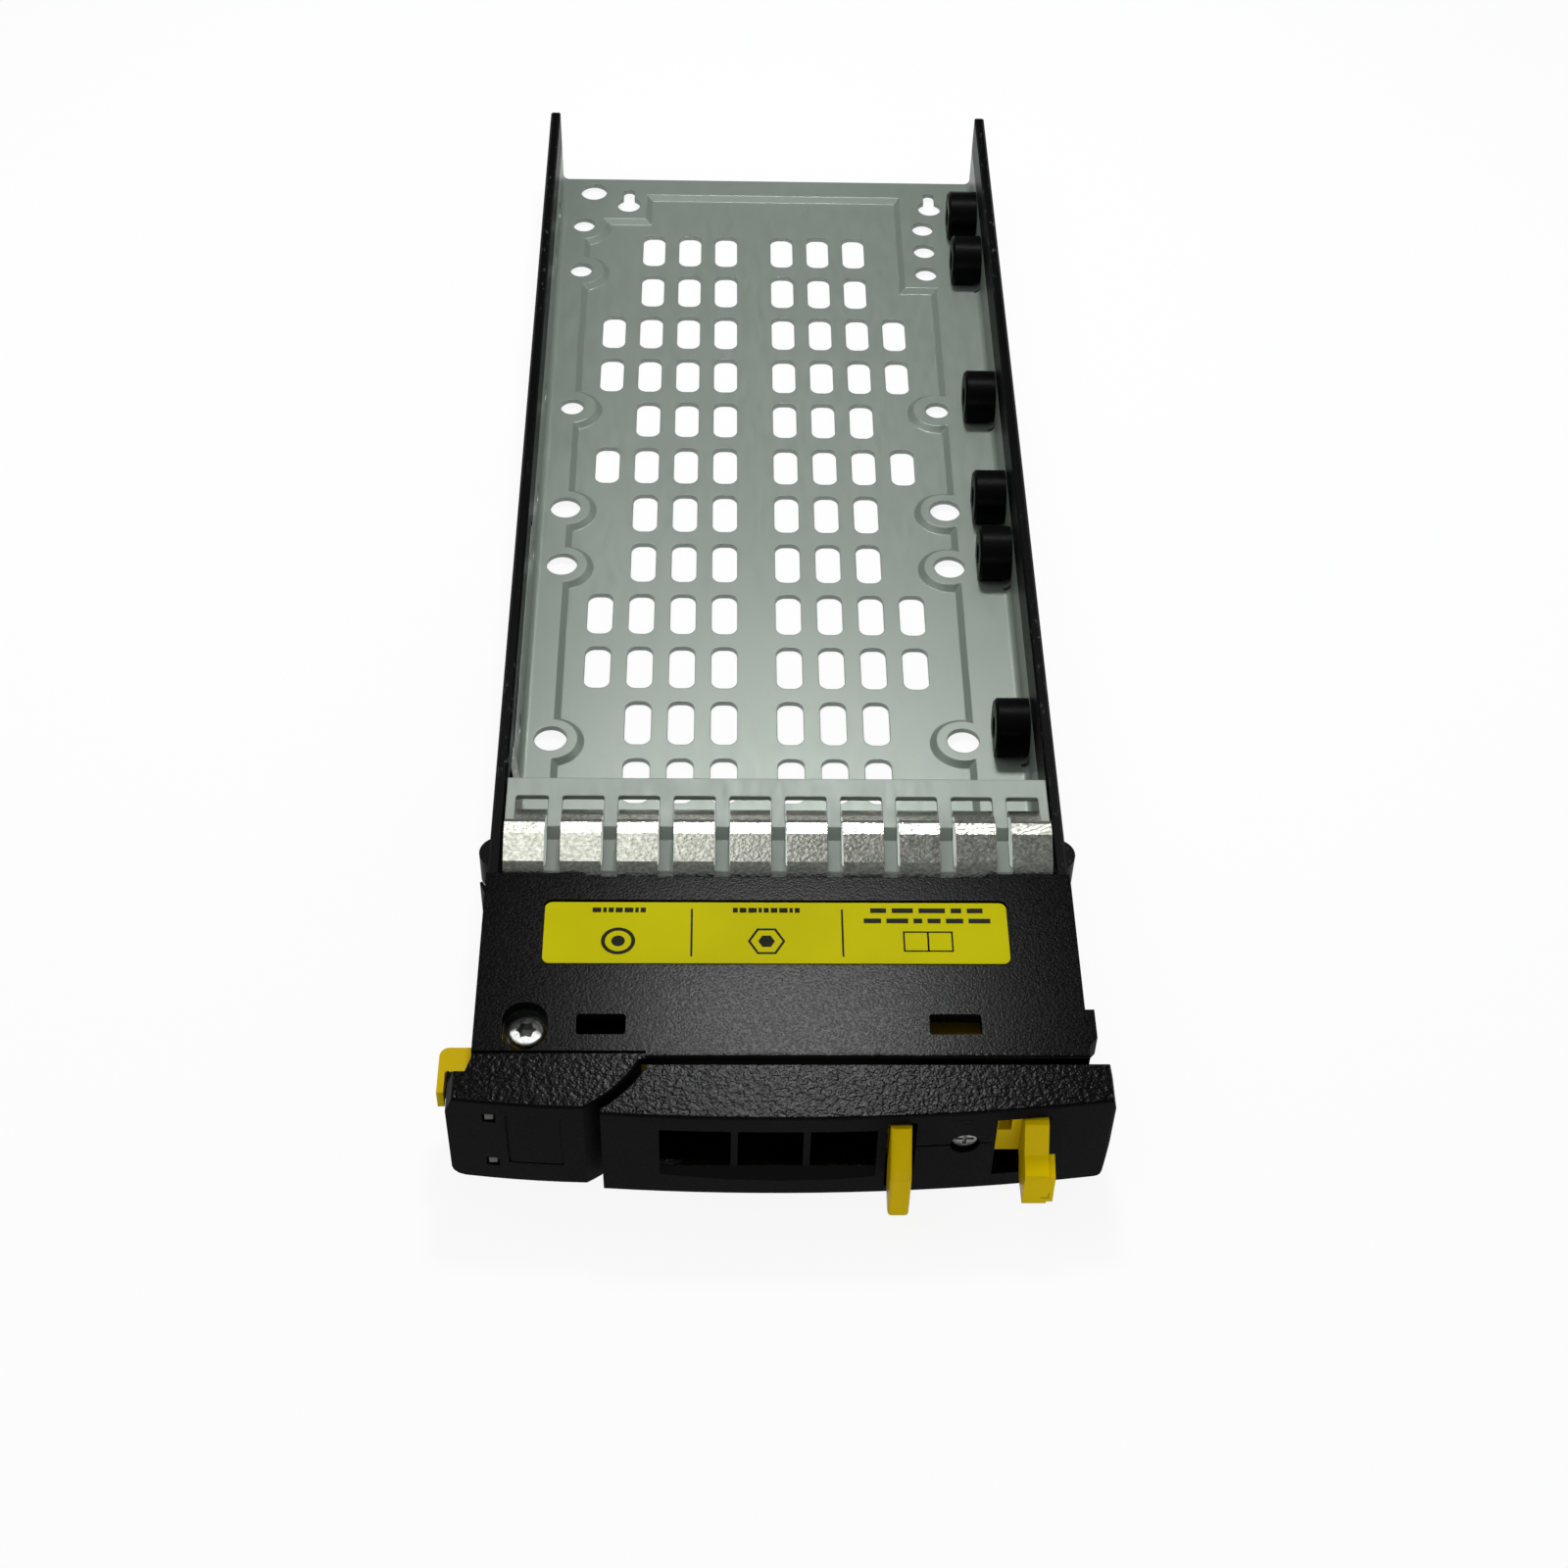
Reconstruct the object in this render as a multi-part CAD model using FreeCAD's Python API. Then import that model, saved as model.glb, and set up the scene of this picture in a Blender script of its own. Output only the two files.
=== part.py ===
import FreeCAD, Part
import math
import os

# Hot swap drive caddy for a 2.5 inch drive, in millimetres.
# x = 0 is the middle of the body, y = 0 the middle of the whole length, z = 0 the plane it rests on.
# The front, with the handle, is towards -y, and the drive's connector end is towards +y.

os.makedirs("parts", exist_ok=True)
V = FreeCAD.Vector

# ---------------------------------------------------------------- driving dimensions
front_bottom = 0.4            # the front clears the resting plane by this
cover_top = 17.1              # top of the cover, bezel and handle

sheet = 0.8                   # tray and shield steel
pan_depth = 0.8               # how far the vented pan is pressed down
bend_radius = 1.0             # inside radius of the tray's folds
wall_height = 7.6             # tray walls above the deck

drive_width = 69.85           # 2.5 inch drive
drive_gap = 0.25              # drive to each side
drive_screws_across = 61.72   # bottom holes, across
drive_screws_along = 76.6     # bottom and side holes, along
side_screw_height = 3.0       # side holes above the drive's base
seat_insets = (14.2, 27.6, 65.5)   # rear screw row of each drive position, from the tray's rear
side_screw_bore = 3.4         # clearance hole for an M3 screw
shield_margin = 21.0          # front screw row of the foremost drive position to the shield

rail_skin = 0.9               # rail wall beside the steel
rail_top = 16.0               # top of the rails
rail_toe = 2.6                # foot of the rail under the tray
spacer_length = 5.05          # right wall to the drive
spacer_diameter = 8.8
spacer_spigot = 5.4
spacer_clearance = 0.1        # spigot in the tray wall, on the radius

slot_width = 3.95
slot_length = 8.9
slot_corner = 1.5
slot_pitch_x = 6.486
slot_pitch_y = 11.73
slot_middle_gap = 10.02       # between the two columns nearest the middle
slot_rear_inset = 20.7        # first row from the rear edge
slot_columns = 3              # on each side, and a fourth where no screw hole is near

cover_length = 29.8
cover_thickness = 1.6
cover_wall = 1.5
handle_gap = 0.9              # cover to handle
handle_depth = 8.6
tab_reach = 4.8               # finger tabs in front of the handle
front_overhang = 3.0          # bezel and handle stand out this far past each rail
front_radius = 330.0          # bow of the front, in plan
bezel_setback = 0.4           # bezel face behind the handle's bow
front_wall = 1.5
shell_wall = 1.2
edge_round = 0.35

shield_length = 18.5
shield_gap = 0.3              # cover to shield
shield_top = 16.1
shield_side_gap = 0.1
finger_count = 10
finger_width = 5.5
comb_inset = 0.2              # comb inside the shield, at each end
finger_sheet = 0.2
window_width = 5.75

pivot_inset = 6.5             # hinge axis from the body's left side
pivot_setback = 6.4           # hinge axis behind the cover's front edge
lever_bottom = 9.1
lever_thickness = 3.0
lever_clearance = 0.3         # lever to whatever lies above and below it
eye_radius = 3.3
post_radius = 2.8
spigot_radius = 2.0
running_fit = 0.05            # on the radius
head_radius = 2.55
head_height = 2.0
screw_shank_radius = 1.2
bezel_sweep = 16.3            # bezel's round corner, about the hinge
handle_sweep = 17.6           # handle's hollow end, about the hinge
handle_open = 40.0            # degrees

pipe_width = 0.9
pipe_height = 1.2
pipe_clearance = 0.05
lamp_window = 1.7             # square recesses in the bezel
lamp_lens = 1.1               # square ends of the light pipes

latch_travel = 2.2
lock_radius = 1.6
lock_recess = 0.8             # lock's face behind the handle's
lock_shaft_radius = 1.1

label_thickness = 0.2
label_pocket = 0.35

# ---------------------------------------------------------------- places worked out from them
body_width = drive_width + 2 * drive_gap + spacer_length + 2 * (sheet + rail_skin)
front_width = body_width + 2 * front_overhang
bay_length = seat_insets[2] + drive_screws_along + shield_margin
front_length = cover_length + handle_gap + handle_depth + tab_reach
total_length = bay_length + shield_length + shield_gap + front_length
rear_y = total_length / 2
tip_y = -total_length / 2
front_y = tip_y + tab_reach                    # foremost point of the handle's bow
handle_back = front_y + handle_depth
cover_front = handle_back + handle_gap
cover_rear = cover_front + cover_length
shield_front = cover_rear + 1.8
shield_rear = cover_rear + shield_gap + shield_length
half_body = body_width / 2
half_front = front_width / 2
wall_out = half_body - rail_skin               # outside of the tray's walls
wall_in = wall_out - sheet                     # inside of the tray's walls
deck = sheet + pan_depth                       # the drive stands on this level
wall_top = deck + wall_height
bay_left = -wall_in + drive_gap                # left side of the drive
bay_x = bay_left + drive_width / 2             # middle of the drive
spacer_face = bay_x + drive_width / 2 + drive_gap
screw_x = drive_screws_across / 2
side_screw_z = deck + side_screw_height
cover_under = cover_top - cover_thickness
pivot_x = -half_body + pivot_inset
pivot_y = cover_front + pivot_setback
lever_top = lever_bottom + lever_thickness
seat_rear_rows = [rear_y - inset for inset in seat_insets]
seat_front_rows = [y - drive_screws_along for y in seat_rear_rows]
screw_rows = seat_rear_rows + seat_front_rows


# ---------------------------------------------------------------- small helpers
def block(x0, x1, y0, y1, z0, z1):
    return Part.makeBox(x1 - x0, y1 - y0, z1 - z0, V(x0, y0, z0))


def rod(x, y, z, radius, length, axis):
    return Part.makeCylinder(radius, length, V(x, y, z), axis)


def plate(points, z0, z1):
    """Straight-sided outline in plan, raised from z0 to z1."""
    wire = Part.makePolygon([V(x, y, z0) for x, y in points + points[:1]])
    return Part.Face(wire).extrude(V(0, 0, z1 - z0))


def profile(points, x0, x1):
    """Outline of (y, z) points, drawn out along x."""
    wire = Part.makePolygon([V(x0, y, z) for y, z in points + points[:1]])
    return Part.Face(wire).extrude(V(x1 - x0, 0, 0))


def section(points, y0, y1):
    """Outline of (x, z) points, drawn out along y."""
    wire = Part.makePolygon([V(x, y0, z) for x, z in points + points[:1]])
    return Part.Face(wire).extrude(V(0, y1 - y0, 0))


def slot(x, y, width, length, corner, z0, z1):
    """Upright opening with rounded corners, its length along y."""
    tool = block(x - width / 2, x + width / 2, y - length / 2, y + length / 2, z0, z1)
    upright = [e for e in tool.Edges if abs(e.BoundBox.ZLength - (z1 - z0)) < 1e-6]
    return tool.makeFillet(corner, upright)


def ribbon(points, thickness):
    """Closed outline of a strip of even thickness whose middle line passes through the points."""
    left = []
    right = []
    for i, (a, b) in enumerate(points):
        before = points[max(i - 1, 0)]
        after = points[min(i + 1, len(points) - 1)]
        normals = []
        for start, end in ((before, (a, b)), ((a, b), after)):
            run = math.hypot(end[0] - start[0], end[1] - start[1])
            if run > 0:
                normals.append(((start[1] - end[1]) / run, (end[0] - start[0]) / run))
        nx = sum(n[0] for n in normals)
        ny = sum(n[1] for n in normals)
        size = math.hypot(nx, ny)
        nx, ny = nx / size, ny / size
        reach = thickness / 2 / (nx * normals[0][0] + ny * normals[0][1])
        left.append((a + nx * reach, b + ny * reach))
        right.append((a - nx * reach, b - ny * reach))
    return left + right[::-1]


def fused(shapes):
    whole = shapes[0].fuse(shapes[1:]) if len(shapes) > 1 else shapes[0]
    return whole.removeSplitter()


def write(name, shape):
    solids = shape.Solids
    body = solids[0] if len(solids) == 1 else shape
    print(f"{name:22s} solids {len(solids)}  volume {shape.Volume:9.1f}  valid {shape.isValid()}")
    body.exportStep(f"parts/{name}.step")


def bow_y(x, setback=0.0):
    """The front's bow in plan: its y at a given x."""
    return front_y + setback + front_radius - math.sqrt(front_radius ** 2 - x ** 2)


def around(angle, radius):
    """Point about the hinge axis, angle in degrees from +x."""
    turn = math.radians(angle)
    return (pivot_x + radius * math.cos(turn), pivot_y + radius * math.sin(turn))


def sector(radius, start, end, z0, z1, steps=12):
    """Pie slice about the hinge axis."""
    rim = [around(start + (end - start) * i / steps, radius) for i in range(steps + 1)]
    return plate([(pivot_x, pivot_y)] + rim, z0, z1)


# ---------------------------------------------------------------- base tray
pan_slope = 1.0               # plan width of the pressed step
pan_left = bay_x - screw_x + 0.3
pan_right = bay_x + screw_x + 1.7
pan_front = shield_rear + 4.6
pan_rear = rear_y - 4.6
lobe_radius = 4.0
key_step = 2.2                # step beside the keyholes, behind the first screw row
keyhole_x = 22.9
keyhole_inset = 7.9
rear_hole_diameter = 3.9
front_hole_diameter = 4.9


def pan_wire(grow, z):
    """Outline of the pressed pan, with a lobe left standing round each screw hole."""
    reach = lobe_radius + grow
    left = pan_left + grow
    right = pan_right - grow
    row_a, row_b, row_c = seat_rear_rows
    key_edge = bay_x - keyhole_x + 3.3 + grow
    edges = []

    def line(a, b):
        edges.append(Part.LineSegment(V(*a, z), V(*b, z)).toShape())
        return b

    def lobe(hole_x, hole_y, edge, start, side):
        """Half round of standing metal: in along the edge, round the hole and back."""
        rise = math.sqrt(reach ** 2 - (edge - hole_x) ** 2)
        top = (edge, hole_y + rise)
        bottom = (edge, hole_y - rise)
        line(start, top)
        middle = V(hole_x + side * reach, hole_y, z)
        edges.append(Part.Arc(V(*top, z), middle, V(*bottom, z)).toShape())
        return bottom

    hole_left = bay_x - screw_x
    hole_right = bay_x + screw_x
    # down the left side, from the rear
    first = (key_edge, pan_rear - grow)
    step = key_step - grow
    at = line(first, (key_edge, row_a + step))
    shoulder = (hole_left + math.sqrt(reach ** 2 - step ** 2), row_a + step)
    line(at, shoulder)
    diagonal = reach * math.sqrt(0.5)
    middle = V(hole_left + diagonal, row_a - diagonal, z)
    at = (left, row_a - math.sqrt(reach ** 2 - (left - hole_left) ** 2))
    edges.append(Part.Arc(V(*shoulder, z), middle, V(*at, z)).toShape())
    for y in [row_b, row_c] + seat_front_rows:
        at = lobe(hole_left, y, left, at, 1)
    at = line(at, (left, pan_front + grow))
    # across the front and back up the right side
    at = line(at, (right, pan_front + grow))
    for y in seat_front_rows[::-1] + [row_c]:
        rise = math.sqrt(reach ** 2 - (hole_right - right) ** 2)
        bottom = (right, y - rise)
        line(at, bottom)
        middle = V(hole_right - reach, y, z)
        edges.append(Part.Arc(V(*bottom, z), middle, V(right, y + rise, z)).toShape())
        at = (right, y + rise)
    step_y = row_b - 4.0 - grow
    step_x = hole_right - 3.9 - grow
    at = line(at, (right, step_y))
    at = line(at, (step_x, step_y))
    at = line(at, (step_x, pan_rear - grow))
    line(at, first)
    return Part.Wire(edges)


def folded_section():
    """The tray's channel section: floor and two upright walls with bent corners."""
    outer = bend_radius + sheet
    k = math.sqrt(0.5)
    edges = []

    def arc(cx, cz, radius, side):
        """Quarter round under a bend centre, from the wall to the floor."""
        start = V(cx + side * radius, rear_y, cz)
        middle = V(cx + side * radius * k, rear_y, cz - radius * k)
        return Part.Arc(start, middle, V(cx, rear_y, cz - radius)).toShape()

    centre_x = wall_in - bend_radius
    centre_z = deck + bend_radius
    for side in (-1, 1):
        edges.append(arc(side * centre_x, centre_z, outer, side))
        edges.append(arc(side * centre_x, centre_z, bend_radius, side))
        edges.append(Part.makeLine(V(side * wall_out, rear_y, centre_z), V(side * wall_out, rear_y, wall_top)))
        edges.append(Part.makeLine(V(side * wall_out, rear_y, wall_top), V(side * wall_in, rear_y, wall_top)))
        edges.append(Part.makeLine(V(side * wall_in, rear_y, wall_top), V(side * wall_in, rear_y, centre_z)))
    for z in (deck - sheet, deck):
        edges.append(Part.makeLine(V(-centre_x, rear_y, z), V(centre_x, rear_y, z)))
    return Part.Face(Part.Wire(Part.__sortEdges__(edges)))


tongue_half = wall_in - 0.3
tongue_front = cover_front + 2.2
wall_front = cover_rear + 0.3
base_screw_places = [(pivot_x + 18.9, cover_rear - 7.5), (half_body - 9.4, cover_rear - 7.5)]
base_screw_radius = 1.25
boss_radius = 2.6


def make_tray():
    tray = folded_section().extrude(V(0, wall_front - rear_y, 0))
    tongue = block(-tongue_half, tongue_half, tongue_front, wall_front + 1, deck - sheet, deck)
    # the pan is pressed down by its own depth, with a sloping step round it
    hollow = Part.makeLoft([pan_wire(0, deck), pan_wire(pan_slope, deck - pan_depth)], True, True)
    lift = 0.3 * pan_slope
    under = Part.makeLoft([pan_wire(-lift, deck - sheet), pan_wire(pan_slope - lift, 0)], True, True)
    tray = fused([tray, tongue, under]).cut(hollow)
    tools = []
    first_row = rear_y - slot_rear_inset
    clear = slot_length / 2 + lobe_radius          # a slot's middle from a screw row, in line with its lobes
    rows = 1 + int((first_row - clear - pan_front) / slot_pitch_y)
    for row in range(rows):
        y = first_row - row * slot_pitch_y
        wide = min(abs(y - screw_y) for screw_y in screw_rows) > clear
        for column in range(slot_columns + wide):
            offset = slot_middle_gap / 2 + column * slot_pitch_x
            for x in (bay_x - offset, bay_x + offset):
                tools.append(slot(x, y, slot_width, slot_length, slot_corner, -1, deck + 1))
    up = V(0, 0, 1)
    for x in (bay_x - screw_x, bay_x + screw_x):
        for y in seat_rear_rows:
            tools.append(rod(x, y, -1, rear_hole_diameter / 2, deck + 2, up))
        for y in seat_front_rows:
            tools.append(rod(x, y, -1, front_hole_diameter / 2, deck + 2, up))
    middle_row = (seat_rear_rows[0] + seat_rear_rows[1]) / 2
    tools.append(rod(bay_x + screw_x, middle_row, -1, rear_hole_diameter / 2, deck + 2, up))
    # large lifting hole and two keyholes at the rear edge
    tools.append(rod(bay_x - 29.4, rear_y - 4.0, -1, 2.4, deck + 2, up))
    for x in (bay_x - keyhole_x, bay_x + keyhole_x + 9.5):
        tools.append(rod(x, rear_y - keyhole_inset, -1, 2.1, deck + 2, up))
        tools.append(slot(x, rear_y - keyhole_inset + 2.3, 2.0, 4.6, 0.95, -1, deck + 1))
    # side screw holes: plain on the left, for the spacers' spigots on the right
    for y in screw_rows:
        tools.append(rod(-wall_out - 1, y, side_screw_z, side_screw_bore / 2, sheet + 2, V(1, 0, 0)))
        bore = spacer_spigot / 2 + spacer_clearance
        tools.append(rod(wall_in - 1, y, side_screw_z, bore, sheet + 2, V(1, 0, 0)))
        # relief notches in the fold, each side of a spacer
        for end in (y - spacer_diameter / 2 - 0.9, y + spacer_diameter / 2 + 0.2):
            tools.append(block(wall_in - bend_radius, wall_out + 1, end, end + 0.7, -1, deck + 2.2))
    for x, y in base_screw_places:
        tools.append(rod(x, y, -1, base_screw_radius + 0.15, deck + 2, up))
    tools.append(rod(pivot_x, pivot_y, -1, screw_shank_radius + 0.15, deck + 2, up))
    return tray.cut(tools)


write("base_tray", make_tray())


# ---------------------------------------------------------------- light pipes and rails
pipe_x = -half_body + 0.5 + pipe_width / 2            # in the left rail
pipe_inner_x = -wall_in + 1.45                        # past the shield and beside the hinge
lamp_x = -half_front + 5.5                            # middle of the lamp windows
pipe_low = wall_top + 0.1 + pipe_clearance            # underside of the lower pipe
pipe_high = pipe_low + pipe_height + 0.4
pipe_open_low = 9.4                                   # the rail's groove opens forward of here
pipe_open_high = -26.5
jog_start = shield_rear + 11.0
jog_end = shield_rear + 1.0
run_low = 7.4
run_high = 9.3
lamp_low = 4.2                                        # middles of the lamp windows
lamp_high = 13.8
lamp_y = bow_y(lamp_x, bezel_setback)


def make_pipe(rail_z, run_z, lamp_z):
    """Clear rod: along the rail, a jog inwards, under the shield and on to its lamp window."""
    half = pipe_width / 2
    along = block(pipe_x - half, pipe_x + half, jog_start, rear_y, rail_z, rail_z + pipe_height)
    jog_points = [(pipe_x, jog_start + 0.5), (pipe_x, jog_start), (pipe_inner_x, jog_end), (pipe_inner_x, jog_end - 0.5)]
    jog = plate(ribbon(jog_points, pipe_width), rail_z, rail_z + pipe_height)
    centre = pipe_height / 2
    drop = [
        (jog_end, rail_z + centre),
        (jog_end - 0.8, rail_z + centre),
        (shield_rear - 3.5, run_z + centre),
        (cover_rear - 3.0, run_z + centre),
        (cover_rear - 12.0, lamp_z),
        (lamp_y + 3.0, lamp_z),
    ]
    run = profile(ribbon(drop, pipe_height), pipe_inner_x - half, pipe_inner_x + half)
    lens = lamp_lens / 2
    head = block(lamp_x - lens, lamp_x + lens, lamp_y + 0.4, lamp_y + 3.2, lamp_z - lens, lamp_z + lens)
    return fused([along, jog, run, head])


write("light_pipe_lower", make_pipe(pipe_low, run_low, lamp_low))
write("light_pipe_upper", make_pipe(pipe_high, run_high, lamp_high))

bump_y = cover_rear + 6.5
bump_radius = 2.67
bump_reach = 1.5
rail_front = cover_rear + 1.2


def make_rail(side):
    """One rail: web beside the steel, thick head above it, and a toe under the tray."""
    out, web, head = half_body, wall_out, wall_in
    points = [
        (out, 0.5), (out, rail_top - 0.4), (out - 0.4, rail_top),
        (head + 0.3, rail_top), (head, rail_top - 0.3), (head, wall_top + 0.1),
        (web, wall_top + 0.1), (web, sheet - 0.05), (out - rail_toe, sheet - 0.05),
        (out - rail_toe, 0), (out - 0.5, 0),
    ]
    rail = section([(side * x, z) for x, z in points], rail_front, rear_y)
    # round the top rear corner
    nose = profile([(rear_y - 1.2, rail_top + 1), (rear_y + 1, rail_top + 1), (rear_y + 1, rail_top - 1.2)],
                   -half_body - 1, half_body + 1)
    # spring bump that steadies the caddy in its slot
    bump = rod(side * (half_body + bump_reach - bump_radius), bump_y, 9.5, bump_radius, 5.0, V(0, 0, 1))
    keep = block(side * half_body - 3, side * half_body + 3, bump_y - 4, bump_y + 4, 9, 15)
    half_space = block(half_body - rail_skin / 2, half_body + 4, bump_y - 4, bump_y + 4, 9, 15)
    if side < 0:
        half_space = block(-half_body - 4, -half_body + rail_skin / 2, bump_y - 4, bump_y + 4, 9, 15)
    rail = fused([rail, bump.common(keep).common(half_space)])
    tools = [nose]
    start = min(side * (half_body + 1), side * (wall_out - 1))
    radius = 3.1 if side < 0 else spacer_spigot / 2 + 2 * spacer_clearance
    for y in screw_rows:
        tools.append(rod(start, y, side_screw_z, radius, rail_skin + 2, V(1, 0, 0)))
    if side < 0:
        low, high = pipe_x - pipe_width / 2 - pipe_clearance, pipe_x + pipe_width / 2 + pipe_clearance
        for z, opening in ((pipe_low, pipe_open_low), (pipe_high, pipe_open_high)):
            z0, z1 = z - pipe_clearance, z + pipe_height + pipe_clearance
            tools.append(block(low, high, rail_front - 1, rear_y + 1, z0, z1))
            tools.append(block(low, -wall_in + 1, rail_front - 1, opening, z0, z1))
    return rail.cut(tools)


write("left_rail", make_rail(-1))
write("right_rail", make_rail(1))


# ---------------------------------------------------------------- drive spacers
def make_spacer(y):
    """Round spacer against the right wall, flattened where it meets the deck, bored for a screw."""
    drum = rod(spacer_face, y, side_screw_z, spacer_diameter / 2, wall_in - spacer_face, V(1, 0, 0))
    rim = [e for e in drum.Edges if e.Length > spacer_diameter and abs(e.BoundBox.XMin - spacer_face) < 0.01]
    drum = drum.makeChamfer(0.4, rim)
    spigot = rod(wall_in - 0.5, y, side_screw_z, spacer_spigot / 2, half_body - 0.2 - wall_in + 0.5, V(1, 0, 0))
    below = block(spacer_face - 1, wall_in + 0.0, y - 6, y + 6, -5, deck + 0.05)
    fold = block(wall_in - bend_radius - 0.1, wall_in, y - 6, y + 6, -5, deck + bend_radius + 0.1)
    spacer = fused([drum.cut([below, fold]), spigot])
    return spacer.cut(rod(spacer_face - 1, y, side_screw_z, side_screw_bore / 2, half_body, V(1, 0, 0)))


for number, row_y in enumerate(sorted(screw_rows, reverse=True), 1):
    write(f"drive_spacer_{number}", make_spacer(row_y))


# ---------------------------------------------------------------- top shield and its spring fingers
shield_half = wall_in - shield_side_gap
finger_pitch = (2 * shield_half - 2 * comb_inset - finger_width) / (finger_count - 1)
bend_y = cover_rear + 10.0
window_rear = shield_rear - 3.3
strip_end = cover_rear + 4.6
shield_line = [
    (shield_rear, shield_top - sheet / 2),
    (bend_y, shield_top - sheet / 2),
    (bend_y - 1.4, shield_top - sheet / 2 - 1.1),
    (strip_end - 0.6, shield_top - sheet / 2 - 2.3),
    (shield_front + 0.3, shield_top - sheet / 2 - 3.6),
    (shield_front, shield_top - sheet / 2 - 4.8),
]


def window_span(number):
    """Left and right edge of a shield window; the outermost are narrower."""
    middle = (number - (finger_count - 1) / 2) * finger_pitch
    low, high = middle - window_width / 2, middle + window_width / 2
    limit = shield_half - 1.3
    return max(low, -limit), min(high, limit)


def make_shield():
    shield = profile(ribbon(shield_line, sheet), -shield_half, shield_half)
    flanges = []
    for side in (-1, 1):
        x0, x1 = sorted((side * shield_half, side * (shield_half - sheet)))
        flanges.append(block(x0, x1, bend_y + 0.5, shield_rear - 0.4, deck + bend_radius + 0.4, shield_top - 0.3))
    tools = []
    for number in range(finger_count):
        low, high = window_span(number)
        tools.append(slot((low + high) / 2, (window_rear + strip_end) / 2, high - low,
                          window_rear - strip_end, 0.4, lever_top, cover_top))
    return fused([shield] + flanges).cut(tools)


finger_line = [
    (shield_front - 0.45, shield_top - 3.8),
    (cover_rear + 1.5, shield_top - 1.6),
    (cover_rear + 3.4, shield_top + 0.2),
    (bend_y - 3.0, shield_top + 1.85),
    (bend_y - 1.3, shield_top + 2.1),
    (bend_y - 0.6, shield_top + 1.9),
    (bend_y + 0.7, shield_top + 1.3),
    (bend_y + 3.0, shield_top - 0.2),
    (bend_y + 3.7, shield_top - 2.0),
]


def make_fingers():
    """A comb: one clip strip along the shield's front lip and a crested finger in each window."""
    clip_line = [
        (strip_end - 1.3, shield_top - 2.30),
        finger_line[0],
        (shield_front - 0.75, shield_top - 5.2),
    ]
    pieces = [profile(ribbon(clip_line, finger_sheet), -shield_half + 0.3, shield_half - 0.3)]
    for number in range(finger_count):
        middle = (number - (finger_count - 1) / 2) * finger_pitch
        low, high = middle - finger_width / 2, middle + finger_width / 2
        finger = profile(ribbon(finger_line, finger_sheet), low, high)
        window_low, window_high = window_span(number)
        side_gap = (window_width - finger_width) / 2
        if low < window_low:
            finger = finger.cut(block(low - 1, window_low + side_gap, bend_y - 0.6, shield_rear, deck, shield_top + 3))
        if high > window_high:
            finger = finger.cut(block(window_high - side_gap, high + 1, bend_y - 0.6, shield_rear, deck, shield_top + 3))
        pieces.append(finger)
    return fused(pieces)


write("top_shield", make_shield())
write("shield_fingers", make_fingers())


# ---------------------------------------------------------------- front cover with its bezel
bezel_floor = 1.4
flank_start = cover_front + 3.0
bezel_left_top = -half_front + 1.0
hook_notch_front = cover_front - 2.2
screw_slot_length = 7.6
screw_slot_radius = 2.9
label_box = (-half_body + 8.2, half_body - 9.1, cover_rear - 14.6, cover_rear - 4.3)
catch_windows = [(pivot_x + 6.6, pivot_x + 12.9), (half_body - 20.3, half_body - 13.6)]
catch_rear = cover_front + 6.8
catch_front = cover_front + 3.6
lever_slot_low = lever_bottom - lever_clearance
lever_slot_high = lever_top + lever_clearance
hook_reach = 11.1             # from the hinge axis to the hook's left side
hook_leg = 0.9
hook_bar = (1.3, 5.1)         # the bar's rear and front edge, in front of the hinge axis
hook_tip = 8.4
inner_leg_x = (8.2, 7.2)      # left and right side, from the hinge axis
inner_leg_tip = 7.3


def bezel_corner():
    """Where the round corner starts at the cover's front edge and ends on the bow."""
    start_x = pivot_x + math.sqrt(bezel_sweep ** 2 - pivot_setback ** 2)
    end_angle = -61.0
    return (start_x, cover_front), around(-42.0, bezel_sweep), around(end_angle, bezel_sweep)


def cover_outline(z, front_left):
    """Plan of cover and bezel in one, at a given height."""
    start, middle, end = bezel_corner()
    left_y = bow_y(front_left, bezel_setback)
    mid_x = (front_left + end[0]) / 2
    edges = [
        Part.makeLine(V(-half_body, cover_rear, z), V(half_body, cover_rear, z)),
        Part.makeLine(V(half_body, cover_rear, z), V(half_body, cover_front, z)),
        Part.makeLine(V(half_body, cover_front, z), V(*start, z)),
        Part.Arc(V(*start, z), V(*middle, z), V(*end, z)).toShape(),
        Part.Arc(V(*end, z), V(mid_x, bow_y(mid_x, bezel_setback) , z), V(front_left, left_y, z)).toShape(),
        Part.makeLine(V(front_left, left_y, z), V(front_left, flank_start - 2.0, z)),
        Part.makeLine(V(front_left, flank_start - 2.0, z), V(-half_body, flank_start, z)),
        Part.makeLine(V(-half_body, flank_start, z), V(-half_body, cover_rear, z)),
    ]
    return Part.Wire(edges)


def hook_rib():
    """Stop that stands on the left flank between the hook's legs; its inner side follows the hook's swing."""
    outer, inner = -hook_reach + hook_leg + lever_clearance, -inner_leg_x[0] - 0.6
    tip = -hook_bar[1] - lever_clearance
    foot = hook_notch_front - pivot_y - 0.1
    radius = math.hypot(inner_leg_x[0], inner_leg_tip) + 0.1
    rim = []
    for i in range(7):
        x = inner + (max(outer, -math.sqrt(radius ** 2 - tip ** 2)) - inner) * i / 6
        rim.append((x, -math.sqrt(radius ** 2 - x ** 2)))
    points = [(outer, foot), (inner, foot)] + rim + [(outer, tip)]
    return plate([(pivot_x + x, pivot_y + y) for x, y in points], lever_slot_low - 0.1, lever_top + 0.6)


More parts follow.
